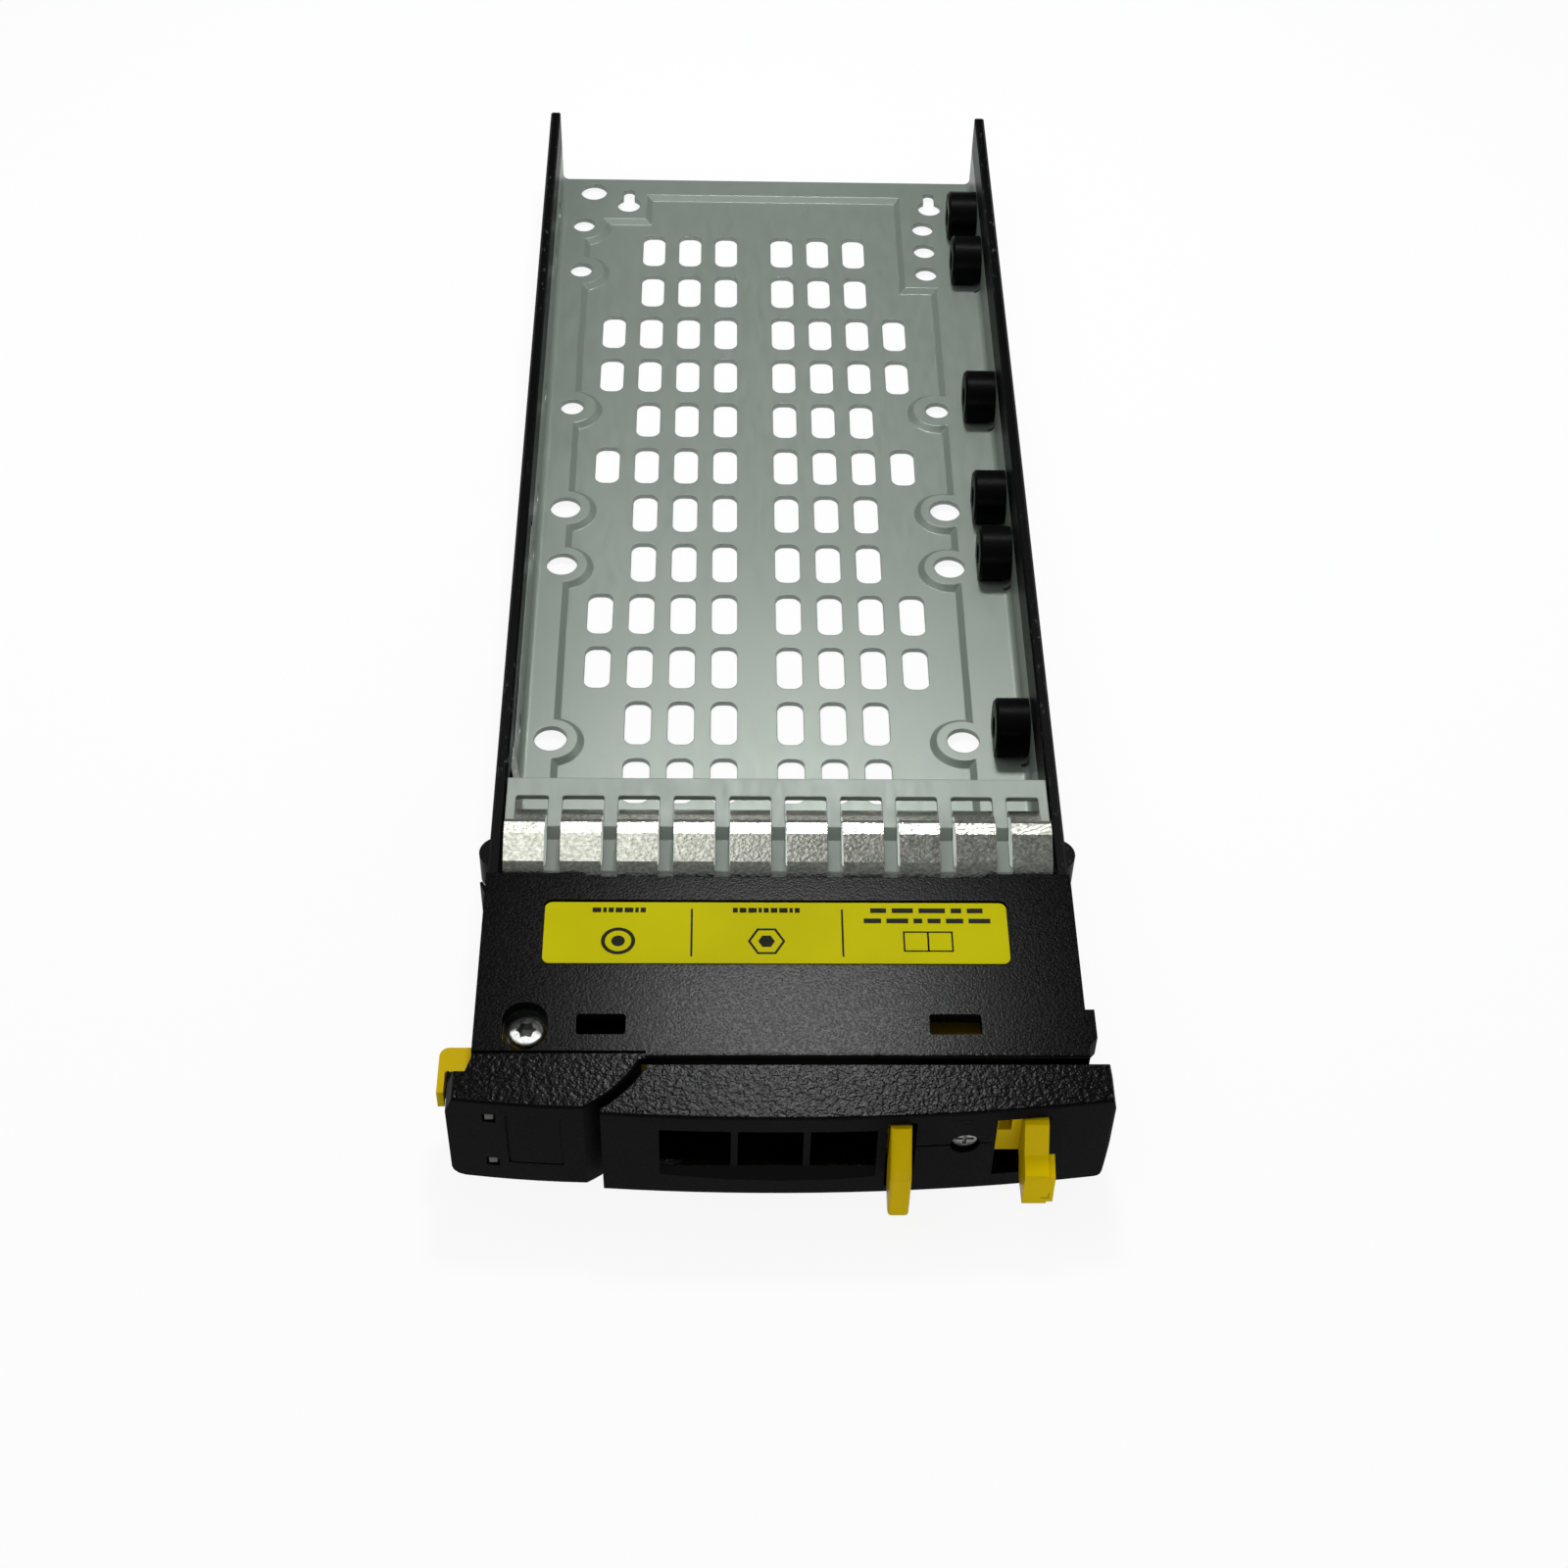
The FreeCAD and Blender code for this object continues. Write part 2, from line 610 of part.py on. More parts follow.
def make_cover():
    shell = Part.Face(cover_outline(front_bottom, -half_front)).extrude(V(0, 0, cover_top - front_bottom))
    # soften the top edges
    rim = [e for e in shell.Edges if abs(e.BoundBox.ZMin - cover_top) < 1e-6 and e.BoundBox.YMax < cover_rear - 0.1
           and e.Length > 3]
    shell = shell.makeFillet(edge_round, rim)
    inner = half_body - cover_wall
    tools = [
        # the room under the cover, open below, in front and, under a lip, behind
        block(-inner, inner, cover_front - 0.01, cover_rear - shell_wall, -1, cover_under),
        block(-inner, inner, cover_rear - shell_wall - 0.1, cover_rear + 1, -1, cover_under - 1.1),
    ]
    # the bezel is hollow behind its face and its round corner
    room = block(-half_front + shell_wall + 0.4, pivot_x + bezel_sweep, bow_y(-half_front, bezel_setback) + front_wall,
                 cover_front + 0.5, front_bottom + bezel_floor, cover_under)
    tools.append(room.common(rod(pivot_x, pivot_y, 0, bezel_sweep - shell_wall, cover_top, V(0, 0, 1))))
    # swinging room for the lever: through the round corner and out of the left side
    tools.append(sector(bezel_sweep + 1.5, -8.0, -9.0 - handle_open - 2.5, lever_slot_low, lever_slot_high))
    side_low, side_high = cover_front - 1.4, pivot_y + 9.0
    tools.append(block(-half_body - 1, -inner + 1, side_low, side_high, lever_slot_low, lever_slot_high))
    # above the hook the left flank is cut back to the cover's side
    flank = [(-half_front - 1, hook_notch_front), (-half_body - 0.6, hook_notch_front), (-half_body, cover_front - 0.2),
             (-half_body, flank_start + 1), (-half_front - 1, flank_start + 1)]
    tools.append(plate(flank, lever_slot_low, cover_top + 1))
    # bevelled left flank towards the face
    bevel = [(-half_front - 1, cover_top + 1), (bezel_left_top, cover_top + 1), (bezel_left_top, cover_top),
             (-half_front, cover_top - 2.8), (-half_front - 1, cover_top - 2.8)]
    tools.append(section(bevel, tip_y, hook_notch_front + 0.1))
    # its lower corner is rounded
    r = 1.7
    corner = [(-half_front - 1, front_bottom - 1), (-half_front + r, front_bottom - 1), (-half_front + r, front_bottom),
              (-half_front + 0.5 * r, front_bottom + 0.13 * r), (-half_front + 0.13 * r, front_bottom + 0.5 * r),
              (-half_front, front_bottom + r), (-half_front - 1, front_bottom + r)]
    tools.append(section(corner, tip_y, flank_start))
    # shallow groove where the bezel meets the cover
    tools.append(block(-half_front - 1, bezel_corner()[0][0] + 0.6, cover_front - 0.2, cover_front + 1.0,
                       cover_top - 0.3, cover_top + 1))
    # openings in the top
    screw_slot = fused([
        rod(pivot_x, pivot_y - 2.4, cover_under - 1, screw_slot_radius, 4, V(0, 0, 1)),
        rod(pivot_x, pivot_y - 0.6, cover_under - 1, screw_slot_radius, 4, V(0, 0, 1)),
        block(pivot_x - screw_slot_radius, pivot_x + screw_slot_radius, pivot_y - 2.4, pivot_y - 0.6,
              cover_under - 1, cover_under + 3),
    ])
    tools.append(screw_slot)
    for low, high in catch_windows:
        tools.append(slot((low + high) / 2, (catch_front + catch_rear) / 2, high - low, catch_rear - catch_front,
                          0.4, cover_under - 1, cover_top + 1))
    x0, x1, y0, y1 = label_box
    tools.append(slot((x0 + x1) / 2, (y0 + y1) / 2, x1 - x0 + 0.6, y1 - y0 + 0.6, 1.3,
                      cover_top - label_pocket, cover_top + 1))
    # lamp windows and a thumb panel outline in the face
    for z in (lamp_low, lamp_high):
        for half, depth in ((lamp_window / 2, 0.6), (lamp_lens / 2 + 0.1, 3.0)):
            tools.append(block(lamp_x - half, lamp_x + half, lamp_y - 1, lamp_y + depth, z - half, z + half))
    shell = shell.cut(tools)
    panel_low, panel_high = -half_front + 7.7, -half_front + 14.5
    groove = []
    for x in (panel_low, panel_high):
        groove.append(block(x - 0.15, x + 0.15, front_y - 1, bow_y(x, bezel_setback) + 0.25, 4.3, 14.6))
    groove.append(block(panel_low, panel_high, front_y - 1, bow_y(panel_low, bezel_setback) + 0.1, 4.3, 4.6))
    # pieces that stand on the moulding: two screw bosses, raised end bars, locating lug and snap barb
    extras = []
    for x, y in base_screw_places:
        boss = rod(x, y, deck, boss_radius, cover_under - deck + 0.5, V(0, 0, 1))
        extras.append(boss.cut(rod(x, y, deck - 1, base_screw_radius - 0.2, 8.0, V(0, 0, 1))))
    for x0, x1 in ((-half_body, -half_body + 13.0), (half_body - 11.0, half_body)):
        extras.append(block(x0, x1, cover_rear - 0.4, cover_rear + 0.9, cover_under, cover_top - 0.3))
    lug_y = pivot_y + 5.0
    lug = [(half_body - 0.5, lug_y), (half_body + 2.1, lug_y), (half_body + 2.1, lug_y - 4.6),
           (half_body + 1.1, lug_y - 5.7), (half_body - 0.5, lug_y - 5.7)]
    extras.append(plate(lug, lever_bottom - 0.6, lever_top))
    barb = [(-half_body + 0.3, cover_rear - 1.2), (-half_body, cover_rear - 1.2), (-half_body - 1.1, cover_rear + 1.5),
            (-half_body - 0.8, cover_rear + 1.7), (-half_body + 0.3, cover_rear - 0.1)]
    extras.append(plate(barb, 6.0, 14.0))
    # a web closes the left catch window from below, above the lever
    low, high = catch_windows[0]
    cup = block(low - shell_wall, high + shell_wall, catch_front - shell_wall, catch_rear + shell_wall,
                lever_slot_high + 0.1, cover_under + 0.1)
    extras.append(cup.cut(block(low, high, catch_front, catch_rear, lever_slot_high + 1.2, cover_top)))
    extras.append(hook_rib())
    # ledge under the hook
    extras.append(block(-half_front - 0.6, -half_front + 0.2, hook_notch_front, flank_start - 2.0,
                        lever_slot_low - 3.0, lever_slot_low))
    return fused([shell.cut(groove)] + extras)


def make_label():
    x0, x1, y0, y1 = label_box
    z0 = cover_top - label_pocket
    return slot((x0 + x1) / 2, (y0 + y1) / 2, x1 - x0, y1 - y0, 1.0, z0, z0 + label_thickness)


write("front_cover", make_cover())
write("cover_label", make_label())


# ---------------------------------------------------------------- hinge post and screws
def make_post():
    """Stepped post on the tray: a shoulder under the lever and a spigot through its eye."""
    shoulder = rod(pivot_x, pivot_y, deck, post_radius, lever_bottom - deck - 0.05, V(0, 0, 1))
    spigot = rod(pivot_x, pivot_y, deck, spigot_radius, lever_top + 0.1 - deck, V(0, 0, 1))
    bore = rod(pivot_x, pivot_y, deck + 2.0, screw_shank_radius, 20, V(0, 0, 1))
    return fused([shoulder, spigot]).cut(bore)


def star_recess(x, y, z, radius, depth):
    """Six-lobed driver recess."""
    points = []
    for i in range(12):
        turn = math.radians(30 * i)
        reach = radius if i % 2 == 0 else radius * 0.72
        points.append((x + reach * math.cos(turn), y + reach * math.sin(turn)))
    return plate(points, z - depth, z + 1)


def make_pivot_screw():
    z = lever_top + 0.1
    head = rod(pivot_x, pivot_y, z, head_radius, head_height, V(0, 0, 1))
    crown = [e for e in head.Edges if e.BoundBox.ZMin > z + head_height - 0.01]
    head = head.makeFillet(0.5, crown)
    shank = rod(pivot_x, pivot_y, deck + 3.0, screw_shank_radius, z - deck - 2.5, V(0, 0, 1))
    return fused([head, shank]).cut(star_recess(pivot_x, pivot_y, z + head_height, 1.35, 1.2))


def make_base_screw(x, y):
    head_low = deck - sheet - 0.75
    head = rod(x, y, head_low, 2.4, 0.7, V(0, 0, 1))
    shank = rod(x, y, head_low + 0.3, base_screw_radius - 0.2, deck + 6.0 - head_low, V(0, 0, 1))
    drive = star_recess(x, y, head_low, 1.1, 0.0)
    drive.translate(V(0, 0, -0.55))
    return fused([head, shank]).cut(drive)


write("hinge_post", make_post())
write("hinge_screw", make_pivot_screw())
for name, place in zip(("base_screw_left", "base_screw_right"), base_screw_places):
    write(name, make_base_screw(*place))


# ---------------------------------------------------------------- handle: bezel shell, lever, latch and lock
handle_right = half_front
handle_corner_x = pivot_x + 10.1
left_tab_x = (handle_right - 28.8, handle_right - 26.1)
latch_tab_x = (handle_right - 11.8, handle_right - 8.7)
latch_window_x = (latch_tab_x[0] - latch_travel - 1.2, latch_tab_x[1] + 0.3)
latch_window_z = (3.1, 15.1)
grille_x = (handle_corner_x + 7.3, left_tab_x[0] - 1.5)
grille_z = (5.6, 14.2)
grille_pillars = [grille_x[0] + share * (grille_x[1] - grille_x[0]) for share in (0.344, 0.678)]
pillar_width = 0.9
lock_x = handle_right - 19.1
lock_z = 10.4


def handle_plan(z):
    """Plan of the handle: hollow left end about the hinge, bowed front, square right end."""
    rise = handle_back - pivot_y
    start_x = pivot_x + math.sqrt(handle_sweep ** 2 - rise ** 2)
    end_y = pivot_y - math.sqrt(handle_sweep ** 2 - (handle_corner_x - pivot_x) ** 2)
    edges = [
        Part.makeLine(V(handle_right, handle_back, z), V(start_x, handle_back, z)),
        Part.Arc(V(start_x, handle_back, z), V(*around(-40.0, handle_sweep), z), V(handle_corner_x, end_y, z)).toShape(),
        Part.makeLine(V(handle_corner_x, end_y, z), V(handle_corner_x, bow_y(handle_corner_x), z)),
        Part.Arc(V(handle_corner_x, bow_y(handle_corner_x), z), V(0, front_y, z),
                 V(handle_right, bow_y(handle_right), z)).toShape(),
        Part.makeLine(V(handle_right, bow_y(handle_right), z), V(handle_right, handle_back, z)),
    ]
    return Part.Wire(edges)


back_lip_top = 5.2            # under the latch bar
spring_width = 1.7
spring_sheet = 0.15
spring_folds = 12
spring_start = left_tab_x[1] + 3.0
spring_end = latch_window_x[0] + 2.7
spring_y = handle_back - 3.0
bar_low = 6.2                 # latch bar and spring lie under the lever
bar_high = lever_bottom - 0.5
spring_post = 1.6             # thickness of the post that the spring rests on
spring_seat_gap = 0.05        # at each end of the spring


def make_handle():
    shell = Part.Face(handle_plan(front_bottom)).extrude(V(0, 0, cover_top - front_bottom))
    corner = [e for e in shell.Edges if e.BoundBox.XMin > handle_right - 0.01 and e.BoundBox.ZLength > 10]
    shell = shell.makeFillet(0.8, corner)
    # its hollow end stays sharp, the rest of the top rim is rounded
    rim = [e for e in shell.Edges if e.BoundBox.ZMin > cover_top - 0.01 and e.BoundBox.XMax > pivot_x + handle_sweep]
    shell = shell.makeFillet(edge_round, rim)
    # hollow, open at the back
    room = block(-30, handle_right - front_wall, front_y, handle_back + 1,
                 front_bottom + shell_wall, cover_top - shell_wall)
    bow = Part.makeCylinder(front_radius - front_wall, 30, V(0, front_y + front_radius, -5), V(0, 0, 1))
    ring = rod(pivot_x, pivot_y, -5, handle_sweep + shell_wall, 30, V(0, 0, 1))
    shell = shell.cut(room.common(bow).cut(ring))
    low, high = grille_x
    tools = []
    # three air windows in one framed opening with a sloping sill
    bounds = [low] + [p + s * pillar_width / 2 for p in grille_pillars for s in (-1, 1)] + [high]
    for i in range(0, len(bounds), 2):
        tools.append(block(bounds[i], bounds[i + 1], tip_y, front_y + 3.5, grille_z[0], grille_z[1]))
    sill = [(tip_y, grille_z[1]), (front_y + 0.8, grille_z[1]), (front_y + 0.8, grille_z[0]),
            (front_y - 0.2, grille_z[0] - 2.8), (tip_y, grille_z[0] - 2.8)]
    tools.append(profile(sill, low, high))
    # slot of the fixed tab, window of the sliding one, hole of the lock
    tools.append(block(left_tab_x[0] - 0.3, left_tab_x[1] + 0.7, tip_y, front_y + 5, 1.8, 15.6))
    tools.append(block(*latch_window_x, tip_y, front_y + 5, *latch_window_z))
    tools.append(rod(lock_x, tip_y, lock_z, lock_radius + running_fit, 9, V(0, 1, 0)))
    tools.append(rod(lock_x, tip_y, lock_z, lock_radius + 0.3, bow_y(lock_x) + lock_recess - tip_y, V(0, 1, 0)))
    # parting line across the lock and bevelled right end
    tools.append(block(left_tab_x[1] + 0.7, latch_window_x[0], tip_y, bow_y(lock_x) + 0.3, lock_z - 0.15, lock_z + 0.15))
    bevel = [(handle_right + 1, cover_top + 1), (handle_right - 0.6, cover_top + 1), (handle_right - 0.6, cover_top),
             (handle_right, cover_top - 2.4), (handle_right + 1, cover_top - 2.4)]
    tools.append(section(bevel, tip_y, handle_back + 1))
    low_bevel = [(handle_right - 1.5, front_bottom - 1), (handle_right + 1, front_bottom - 1),
                 (handle_right + 1, front_bottom + 8.0), (handle_right, front_bottom + 8.0),
                 (handle_right - 0.45, front_bottom + 1.1), (handle_right - 0.65, front_bottom + 0.4),
                 (handle_right - 1.0, front_bottom + 0.1), (handle_right - 1.5, front_bottom)]
    tools.append(section(low_bevel, tip_y, handle_back + 1))
    shell = shell.cut(tools)
    # post for the latch spring
    post = block(spring_start - spring_post, spring_start, bow_y(spring_start) + front_wall - 0.3, spring_y + 1.2,
                 front_bottom + shell_wall - 0.2, bar_high)
    # low lip along the back edge of the handle's floor
    lip = block(handle_corner_x + 10.0, handle_right - front_wall + 0.2, handle_back - shell_wall / 2, handle_back,
                front_bottom + shell_wall - 0.2, back_lip_top)
    return fused([shell, post, lip])


lever_rear_offset = 0.9       # arm behind and in front of the hinge axis
lever_front_offset = -2.6
spine_left = pivot_x + handle_sweep
spine_front = front_y + 5.8
nose_x = (catch_windows[1][0] - 5.1, catch_windows[1][1] + 5.2)
nose_rear = pivot_y + 2.9


def hook_plate(z0, z1):
    """Ejector hook: a bar to the left of the eye with two legs, its outer corner and the inner leg rounded."""
    outline = [
        (0, -hook_bar[0]), (-hook_reach, -hook_bar[0]), (-hook_reach, -hook_tip), (-hook_reach + hook_leg, -hook_tip),
        (-hook_reach + hook_leg, -hook_bar[1]), (-inner_leg_x[0], -hook_bar[1]), (-inner_leg_x[0], -inner_leg_tip),
        (-inner_leg_x[1], -inner_leg_tip), (-inner_leg_x[1], -hook_bar[1] + 0.4), (0, -hook_bar[1] + 2.4),
    ]
    hook = plate([(pivot_x + x, pivot_y + y) for x, y in outline], z0, z1)
    for (x, y), radius in ((outline[1], 1.3), (outline[6], 0.5)):
        corner = [e for e in hook.Edges if e.BoundBox.ZLength > z1 - z0 - 0.01
                  and math.hypot(e.BoundBox.XMin - pivot_x - x, e.BoundBox.YMin - pivot_y - y) < 0.1]
        hook = hook.makeFillet(radius, corner)
    return hook


def make_lever():
    """Yellow lever: eye on the post, cam hook at the left, arm and spine to the right, fixed finger tab."""
    z0, z1 = lever_bottom, lever_top
    eye = rod(pivot_x, pivot_y, z0, eye_radius, lever_thickness, V(0, 0, 1))
    rear, front = pivot_y + lever_rear_offset, pivot_y + lever_front_offset
    spine = [
        (pivot_x, rear), (nose_x[0] - 3.0, rear), (nose_x[0], nose_rear), (nose_x[1], nose_rear),
        (nose_x[1] + 3.0, rear), (half_body - 4.5, rear - 1.0), (half_body - 4.5, handle_back - 0.6),
        (half_body - 6.0, spine_front), (spine_left + 2.6, spine_front), (spine_left + 0.6, handle_back - 0.6),
        (spine_left - 0.4, front), (pivot_x, front),
    ]
    hook = hook_plate(z0, z1)
    # finger tab: its edge slopes out and down from the face, then drops to the tip
    x0, x1 = left_tab_x
    face = bow_y((x0 + x1) / 2)
    tab = [
        (spine_front + 1.0, lever_top), (face, 15.2), (face - 0.6, 15.3), (tip_y + 0.8, 11.4), (tip_y, 10.2),
        (tip_y, 2.6), (tip_y + 0.8, 2.0), (face - 1.6, 2.0), (face + 0.6, 6.0), (spine_front + 1.0, lever_bottom),
    ]
    blade = profile(tab, x0, x1)
    edges = [e for e in blade.Edges if e.BoundBox.XLength < 0.01 and e.BoundBox.YMax < face - 0.5]
    blade = blade.makeFillet(0.5, edges)
    lever = fused([eye, plate(spine, z0, z1), hook, blade])
    return lever.cut(rod(pivot_x, pivot_y, z0 - 1, spigot_radius + running_fit, lever_thickness + 2, V(0, 0, 1)))


def make_latch():
    """Sliding latch: plate behind the face, finger tab, guide bar and nose."""
    wall_y = bow_y(latch_window_x[0]) + front_wall
    plate_front, plate_rear = wall_y + 0.25, wall_y + 1.85
    bar_left, bar_right = spring_end, handle_right - 4.6
    bar_front = bow_y(bar_right) + front_wall + 0.25
    bar_rear = spring_y + spring_width / 2 + 0.2
    x0 = latch_window_x[0] - 0.3
    backing = block(x0, latch_tab_x[1], plate_front, plate_rear, 6.2, 14.8)
    backing = backing.cut(block(x0 + 0.7, x0 + 2.4, plate_front - 1, plate_rear + 1, 10.6, 13.9))
    face = bow_y(latch_tab_x[0])
    tab = [
        (plate_rear, 6.2), (plate_rear, 14.8), (face, 14.8), (face - 0.6, 14.6), (face - 3.2, 11.6),
        (tip_y + 0.5, 10.6), (tip_y + 0.3, 4.9), (face - 1.8, 4.4), (face + 0.4, 6.2),
    ]
    blade = profile(tab, *latch_tab_x)
    # the tip is thicker, on its right
    pad = [(face - 2.8, 11.4), (face - 3.3, 11.2), (tip_y + 0.5, 10.2), (tip_y + 0.3, 5.3), (face - 2.6, 4.9)]
    tip = profile(pad, latch_tab_x[1] - 0.5, latch_tab_x[1] + 0.8)
    bar = block(bar_left, bar_right, bar_front, bar_rear, bar_low, bar_high)
    nose = block(bar_right - 2.4, bar_right, bar_rear - 0.3, handle_back + 0.6, bar_low, bar_high)
    return fused([backing, blade, tip, bar, nose])


def make_lock():
    """Slotted quarter-turn lock with a small cam behind the face."""
    face = bow_y(lock_x)
    front = face + lock_recess
    head = rod(lock_x, front, lock_z, lock_radius, front_wall - lock_recess + 0.1, V(0, 1, 0))
    cam_y = face + front_wall + 1.2
    shaft = rod(lock_x, front + 0.2, lock_z, lock_shaft_radius, cam_y + 1.1 - front, V(0, 1, 0))
    cam = block(lock_x - lock_shaft_radius, lock_x + lock_shaft_radius, cam_y, cam_y + 1.3, lock_z, lock_z + 3.0)
    driver = [block(lock_x - 1.2, lock_x + 1.2, front - 1, front + 0.5, lock_z - 0.25, lock_z + 0.25),
              block(lock_x - 0.25, lock_x + 0.25, front - 1, front + 0.5, lock_z - 1.2, lock_z + 1.2)]
    return fused([head, shaft, cam]).cut(driver)


def make_spring():
    """Latch spring: a strip folded to and fro, between the handle's post and the latch bar."""
    start = spring_start + spring_seat_gap + spring_sheet
    step = (spring_end - spring_seat_gap - spring_sheet - start) / spring_folds
    zigzag = [(start + i * step, spring_y + (i % 2 - 0.5) * spring_width) for i in range(spring_folds + 1)]
    return plate(ribbon(zigzag, spring_sheet), bar_low, bar_high)


write("handle_shell", make_handle())
write("handle_lever", make_lever())
write("latch_slide", make_latch())
write("quarter_turn_lock", make_lock())
write("latch_spring", make_spring())
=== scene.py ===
import math

import bmesh
import bpy
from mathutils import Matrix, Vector


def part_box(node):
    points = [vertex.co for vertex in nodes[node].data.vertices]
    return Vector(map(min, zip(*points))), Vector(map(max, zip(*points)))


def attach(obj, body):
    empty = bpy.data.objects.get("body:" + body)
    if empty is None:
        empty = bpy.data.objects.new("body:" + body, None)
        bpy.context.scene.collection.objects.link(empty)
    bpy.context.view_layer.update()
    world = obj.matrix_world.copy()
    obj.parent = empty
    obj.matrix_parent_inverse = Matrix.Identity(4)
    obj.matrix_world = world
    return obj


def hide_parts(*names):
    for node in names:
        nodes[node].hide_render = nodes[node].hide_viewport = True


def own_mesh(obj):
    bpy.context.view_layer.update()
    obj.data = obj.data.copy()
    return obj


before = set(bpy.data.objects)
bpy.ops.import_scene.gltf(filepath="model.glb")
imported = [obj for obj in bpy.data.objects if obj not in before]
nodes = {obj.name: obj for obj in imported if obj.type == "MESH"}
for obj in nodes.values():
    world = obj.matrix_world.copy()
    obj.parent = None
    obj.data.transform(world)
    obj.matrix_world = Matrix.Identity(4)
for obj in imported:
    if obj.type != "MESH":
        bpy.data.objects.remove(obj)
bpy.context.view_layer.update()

mm = 0.001
scene = bpy.context.scene


def shaderColour(colour):
    # screen colour (0 to 255) to the linear value a shader wants
    def linear(c):
        c = c / 255
        return c / 12.92 if c <= 0.04045 else ((c + 0.055) / 1.055) ** 2.4
    red, green, blue = colour
    return (linear(red), linear(green), linear(blue), 1)


def newMaterial(name):
    material = bpy.data.materials.new(name)
    material.use_nodes = True
    tree = material.node_tree
    shader = tree.nodes["Principled BSDF"]
    return material, tree, shader


def addNode(tree, kind, **settings):
    node = tree.nodes.new(kind)
    for key, value in settings.items():
        if key in node.inputs:
            node.inputs[key].default_value = value
        else:
            setattr(node, key, value)
    return node


def maths(tree, operation, first, second):
    node = addNode(tree, "ShaderNodeMath", operation=operation)
    for socket, value in zip(node.inputs, (first, second)):
        if isinstance(value, (int, float)):
            socket.default_value = value
        else:
            tree.links.new(value, socket)
    return node.outputs["Value"]


def objectCoords(tree, stretch=(1, 1, 1)):
    coords = addNode(tree, "ShaderNodeTexCoord")
    mapping = addNode(tree, "ShaderNodeMapping", Scale=stretch)
    tree.links.new(coords.outputs["Object"], mapping.inputs["Vector"])
    return mapping.outputs["Vector"]


def noiseAt(tree, vector, grains, detail, roughness):
    # every noise below is given as grains per metre, detail and roughness
    noise = addNode(tree, "ShaderNodeTexNoise", Scale=grains, Detail=detail, Roughness=roughness)
    tree.links.new(vector, noise.inputs["Vector"])
    return noise.outputs["Fac"]


def spread(tree, value, low, high, start=0.3, end=0.7):
    # stretch a grey value from start..end to low..high
    remap = addNode(tree, "ShaderNodeMapRange")
    remap.inputs["From Min"].default_value = start
    remap.inputs["From Max"].default_value = end
    remap.inputs["To Min"].default_value = low
    remap.inputs["To Max"].default_value = high
    tree.links.new(value, remap.inputs["Value"])
    return remap.outputs["Result"]


def mottled(tree, value, tones):
    # a colour that drifts from the first tone to the second as the grey value rises
    mix = addNode(tree, "ShaderNodeMix", data_type="RGBA")
    mix.inputs["A"].default_value = shaderColour(tones[0])
    mix.inputs["B"].default_value = shaderColour(tones[1])
    tree.links.new(spread(tree, value, 0, 1), mix.inputs["Factor"])
    return mix.outputs["Result"]


def bump(tree, shader, height, strength, depth, softEdge=0):
    node = addNode(tree, "ShaderNodeBump", Strength=strength, Distance=depth)
    tree.links.new(height, node.inputs["Height"])
    if softEdge:
        bevel = addNode(tree, "ShaderNodeBevel", samples=4, Radius=softEdge)
        tree.links.new(bevel.outputs["Normal"], node.inputs["Normal"])
    tree.links.new(node.outputs["Normal"], shader.inputs["Normal"])


def coat(names, material):
    for name in names:
        mesh = nodes[name].data
        mesh.materials.clear()
        mesh.materials.append(material)


plasticLook = {
    "tones": [(4, 4, 5), (9, 9, 10)],
    "gloss": 0.034,               # specular level
    "clouds": (45, 4, 0.5),
    "bump": 0.5,
    "softEdge": 0.12 * mm,
}
railFinish = {"grain": (2200, 3, 0.6), "rough": (0.34, 0.46), "depth": 0.04 * mm}
spacerFinish = {"grain": (2600, 3, 0.6), "rough": (0.30, 0.40), "depth": 0.02 * mm}
signFinish = {"grain": (2600, 3, 0.6), "rough": (0.40, 0.50), "depth": 0.02 * mm}

scuffLook = {
    "colour": (84, 86, 86),
    "specks": (1500, 3, 0.7),
    "speckStretch": (1, 0.35, 1),     # longer the way the carrier slides
    "speckStep": (0.60, 0.68),        # where the noise turns into a speck
    "patches": (38, 2, 0.5),
    "patchStep": (0.50, 0.62),
    "most": 0.75,
}


def blackPlastic(name, finish, worn=False):
    material, tree, shader = newMaterial(name)
    shader.inputs["Specular IOR Level"].default_value = plasticLook["gloss"]
    where = objectCoords(tree)
    colour = mottled(tree, noiseAt(tree, where, *plasticLook["clouds"]), plasticLook["tones"])
    if worn:
        colour = scuffed(tree, where, colour)
    tree.links.new(colour, shader.inputs["Base Color"])
    grain = noiseAt(tree, where, *finish["grain"])
    tree.links.new(spread(tree, grain, *finish["rough"]), shader.inputs["Roughness"])
    bump(tree, shader, grain, plasticLook["bump"], finish["depth"], plasticLook["softEdge"])
    return material


def scuffed(tree, where, colour):
    # pale rubbed specks on a side that slides in and out
    along = objectCoords(tree, scuffLook["speckStretch"])
    specks = spread(tree, noiseAt(tree, along, *scuffLook["specks"]), 0, 1, *scuffLook["speckStep"])
    patches = noiseAt(tree, where, *scuffLook["patches"])
    patches = spread(tree, patches, 0, scuffLook["most"], *scuffLook["patchStep"])
    mix = addNode(tree, "ShaderNodeMix", data_type="RGBA")
    tree.links.new(maths(tree, "MULTIPLY", specks, patches), mix.inputs["Factor"])
    tree.links.new(colour, mix.inputs["A"])
    mix.inputs["B"].default_value = shaderColour(scuffLook["colour"])
    return mix.outputs["Result"]


